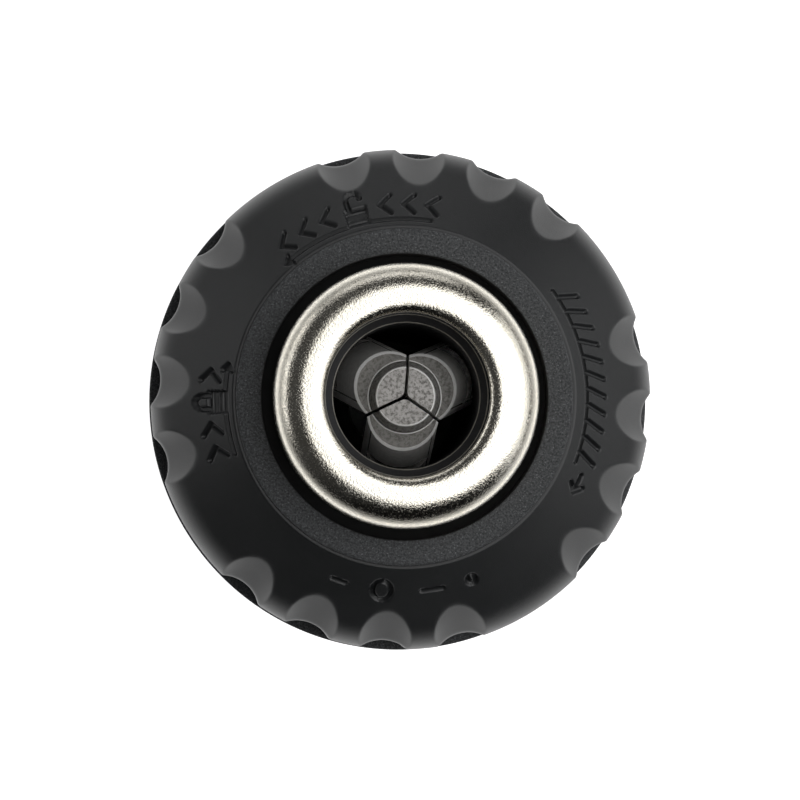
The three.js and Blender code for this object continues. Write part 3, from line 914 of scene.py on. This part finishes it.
engrave, given = new_tree("engraving", Marks="Object", Width="Float", Depth="Float")
mark_lines = engrave.node("GeometryNodeObjectInfo", inputs={"Object": given["Marks"]}, output="Geometry")
near = engrave.node(
    "GeometryNodeProximity", {"target_element": "EDGES"}, {"Geometry": mark_lines}, output="Distance"
)
inside = engrave.node(
    "ShaderNodeMapRange",
    {"interpolation_type": "SMOOTHSTEP"},
    {
        "Value": near,
        "From Min": given["Width"] * 0.3,
        "From Max": given["Width"] * 0.65,
        "To Min": 1.0,
        "To Max": 0.0,
    },
)
normal = engrave.node("GeometryNodeInputNormal")
push = engrave.node(
    "ShaderNodeVectorMath", {"operation": "SCALE"}, {0: normal, "Scale": inside * given["Depth"] * -1.0}
)
engraved = engrave.node("GeometryNodeSetPosition", inputs={"Geometry": given["Geometry"], "Offset": push})
end_tree(engrave, engraved, soft)

mark_object = new_piece("marks", [], [])
mark_object.data.from_pydata([Vector(point) * MM for point in marks.points], marks.edges, [])
run_tree(grip, engrave, Marks=mark_object, Width=0.36 * MM, Depth=0.32 * MM)
bpy.data.objects.remove(mark_object)
grip.data.set_sharp_from_angle(angle=math.radians(60))
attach(grip, "sleeve")
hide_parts("front_sleeve_grip")

# ---- Nose cap ----------------------------------------------------------------------------
# Drawn from sheet steel, peened and nickel plated, then pressed over the body's spigot. Its skirt
# keeps the front sleeve from sliding off.

nose_cap = turned(
    "nose_cap_nickel",
    [
        *ladder((8.95, 48.7), (9.1, 48.6), 2),
        *ladder((9.1, 48.6), (9.7, 48.6), 2),
        *arc((9.7, 48.75), 0.15, -90, 0, 4),
        *ladder((9.85, 48.75), (9.85, 54.7), 4),
        *arc((7.55, 54.7), 2.3, 0, 90, 28),
        *arc((7.0, 55.8), 1.2, 90, 128, 8),
        *arc((6.5, 56.42), 0.4, 128, 225, 8),
        *ladder((6.2, 56.1), (6.2, 55.35), 4),
        *ladder((6.2, 55.35), (7.35, 56.1), 4),
        *arc((7.82, 55.1), 1.13, 90, 0, 8),
    ],
    facets=320,
    sharp=50,
)

nickel = Finish("peened_nickel", Metallic=1.0)
nickel_cloud = nickel.noise(3.0)
nickel_peen = nickel.between(nickel.noise(0.13, detail=2.0, roughness=0.6), 0.35, 0.7)
nickel.set("Base Color", nickel.blend(nickel_cloud, (0.68, 0.635, 0.53), (0.85, 0.82, 0.745)))
nickel.set("Roughness", nickel_cloud * 0.05 + nickel_peen * 0.16 + 0.1)
nickel.bump(nickel_peen, 0.007)
nickel.on(nose_cap)
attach(nose_cap, "body")
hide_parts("nose_cap")

# ---- Rear sleeve -------------------------------------------------------------------------
# A moulded cup of the same nylon, pressed on the body's tail and on the rim of its ledge. It stays
# still, so its flutes give the other hand a hold.

rear_profile = [
    *ladder((10.6, 1.0), (10.8, 0.9), 1),
    *ladder((10.8, 0.9), (16.7, 0.9), 6),
    *arc((16.7, 3.0), 2.1, -90, 0, 12),
    *ladder((18.8, 3.0), (18.8, 7.0), 16),
    *ladder((18.8, 7.0), (18.8, 20.4), 3),
    *arc((18.5, 20.4), 0.3, 0, 90, 4),
    *ladder((18.5, 20.7), (16.2, 20.7), 2),
    *ladder((16.2, 20.7), (16.2, 17.2), 1),
    *ladder((16.2, 17.2), (16.8, 17.0), 1),
    *ladder((16.8, 17.0), (16.8, 3.4), 1),
    *ladder((16.8, 3.4), (12.2, 3.4), 1),
    *ladder((12.2, 3.4), (12.2, 6.8), 1),
    *ladder((12.2, 6.8), (10.6, 6.8), 1),
    *ladder((10.6, 6.8), (10.6, 1.0), 1),
]
rear = turned("rear_sleeve_moulded", rear_profile, facets=1000)
run_tree(
    rear,
    flutes,
    HalfWidth=2.3 * MM,
    Hollow=1.6 * MM,
    Floor=18.0 * MM,
    Knee=1.0,
    Lean=0.0,
    TipRadius=0.0,
    TipHeight=0.0,
    Start=6.4 * MM,
    Runout=1.9 * MM,
    Middle=math.radians(GROUP_MIDDLE),
    Softness=0.2 * MM,
)
nylon.on(rear)
rear.data.set_sharp_from_angle(angle=math.radians(50))
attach(rear, "body")
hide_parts("rear_sleeve")

# ---- Floor, light and camera -------------------------------------------------------------
# The chuck stands on its rear face on a pale sheet, which glows near the chuck like a lamp and goes dark
# further out.
# A wide soft box hangs over it and reaches down on the right, and low boxes stand at the left and the top.
# The camera looks down the axis.

SHEET_HALF = 900
sheet_corners = [(x * SHEET_HALF, y * SHEET_HALF, 0) for x, y in ((-1, -1), (1, -1), (1, 1), (-1, 1))]
sheet = new_piece("floor_sheet", sheet_corners, [[0, 1, 2, 3]])
# The sheet glows from 1 cm to 8 cm round the axis and fades out by 17 cm. The glow is the bright backdrop
# and also lights the chuck, and the dark sheet beyond gives dark reflections.
paper = Finish("pale_paper", Roughness=0.9, Emission_Color=(1.0, 1.0, 1.0, 1.0), Emission_Strength=1.0)
paper_fibre = paper.noise(1.5)
paper_spot = paper.node("ShaderNodeVectorMath", {"operation": "LENGTH"}, {0: paper.place}, output="Value")
paper_glow = paper.between(paper_spot, 0.01, 0.014) * (1 - paper.between(paper_spot, 0.08, 0.17))
paper.set("Base Color", paper.blend(paper_fibre, (0.6, 0.6, 0.6), (0.64, 0.64, 0.64)))
paper.set("Emission Color", paper.blend(paper_glow, (0.0, 0.0, 0.0), (1.0, 1.0, 1.0)))
paper.on(sheet)

UP_IN_VIEW = math.radians(94.5)
RIGHT_IN_VIEW = UP_IN_VIEW - math.pi / 2


def soft_box(name, view_angle, elevation, size, radiance, distance=0.7):
    """A soft box that faces the chuck. View angle 0 is the right of the view and 90 its top."""
    lamp = bpy.data.lights.new(name, "AREA")
    lamp.shape = "RECTANGLE"
    lamp.size, lamp.size_y = size
    lamp.energy = radiance * math.pi * size[0] * size[1]
    piece = bpy.data.objects.new(name, lamp)
    bpy.context.scene.collection.objects.link(piece)
    azimuth = RIGHT_IN_VIEW + math.radians(view_angle)
    lift = math.radians(elevation)
    away = Vector((math.cos(azimuth) * math.cos(lift), math.sin(azimuth) * math.cos(lift), math.sin(lift)))
    piece.location = Vector((0, 0, 0.045)) + away * distance
    piece.rotation_euler = away.to_track_quat("Z", "Y").to_euler()
    return piece


soft_box("high_box", 5, 62, (0.8, 0.9), 2.2)
soft_box("right_box", 5, 18, (1.0, 0.25), 1.1)
soft_box("top_box", 95, 12, (0.8, 0.22), 1.0)
soft_box("left_box", 165, 9, (0.8, 0.2), 1.4)

world = bpy.data.worlds.new("room")
world.use_nodes = True
room = Recipe(world.node_tree)
look = room.node("ShaderNodeTexCoord", output="Generated")
bright_side = RIGHT_IN_VIEW + math.radians(145)
towards = (math.cos(bright_side) * 0.9, math.sin(bright_side) * 0.9, 0.3)
facing_inputs = {0: look, 1: towards}
facing = room.node("ShaderNodeVectorMath", {"operation": "DOT_PRODUCT"}, facing_inputs, output="Value")
facing = room.node(
    "ShaderNodeMapRange",
    {"interpolation_type": "SMOOTHSTEP"},
    {"Value": facing, "From Min": -0.2, "From Max": 0.7, "To Min": 0.03, "To Max": 0.95},
)
room.feed(world.node_tree.nodes["Background"].inputs["Strength"], facing)
bpy.context.scene.world = world
bpy.context.scene.view_settings.view_transform = "Standard"

camera = bpy.data.objects.new("camera", bpy.data.cameras.new("camera"))
bpy.context.scene.collection.objects.link(camera)
tilt = math.radians(2.6)
from_azimuth = RIGHT_IN_VIEW + math.radians(212)
flat = math.sin(tilt)
away = Vector((math.cos(from_azimuth) * flat, math.sin(from_azimuth) * flat, math.cos(tilt)))
up = Vector((math.cos(UP_IN_VIEW), math.sin(UP_IN_VIEW), 0))
right = up.cross(away).normalized()
up = away.cross(right).normalized()
aim = Vector((0, 0, 45)) * MM - right * 0.106 * MM - up * 0.076 * MM
camera.location = aim + away * 0.4
camera.matrix_world = Matrix.Translation(camera.location) @ Matrix((right, up, away)).transposed().to_4x4()
camera.data.sensor_width = 36
camera.data.lens = 18 / (30.3 / 400)
camera.data.clip_start = 0.01
bpy.context.scene.camera = camera
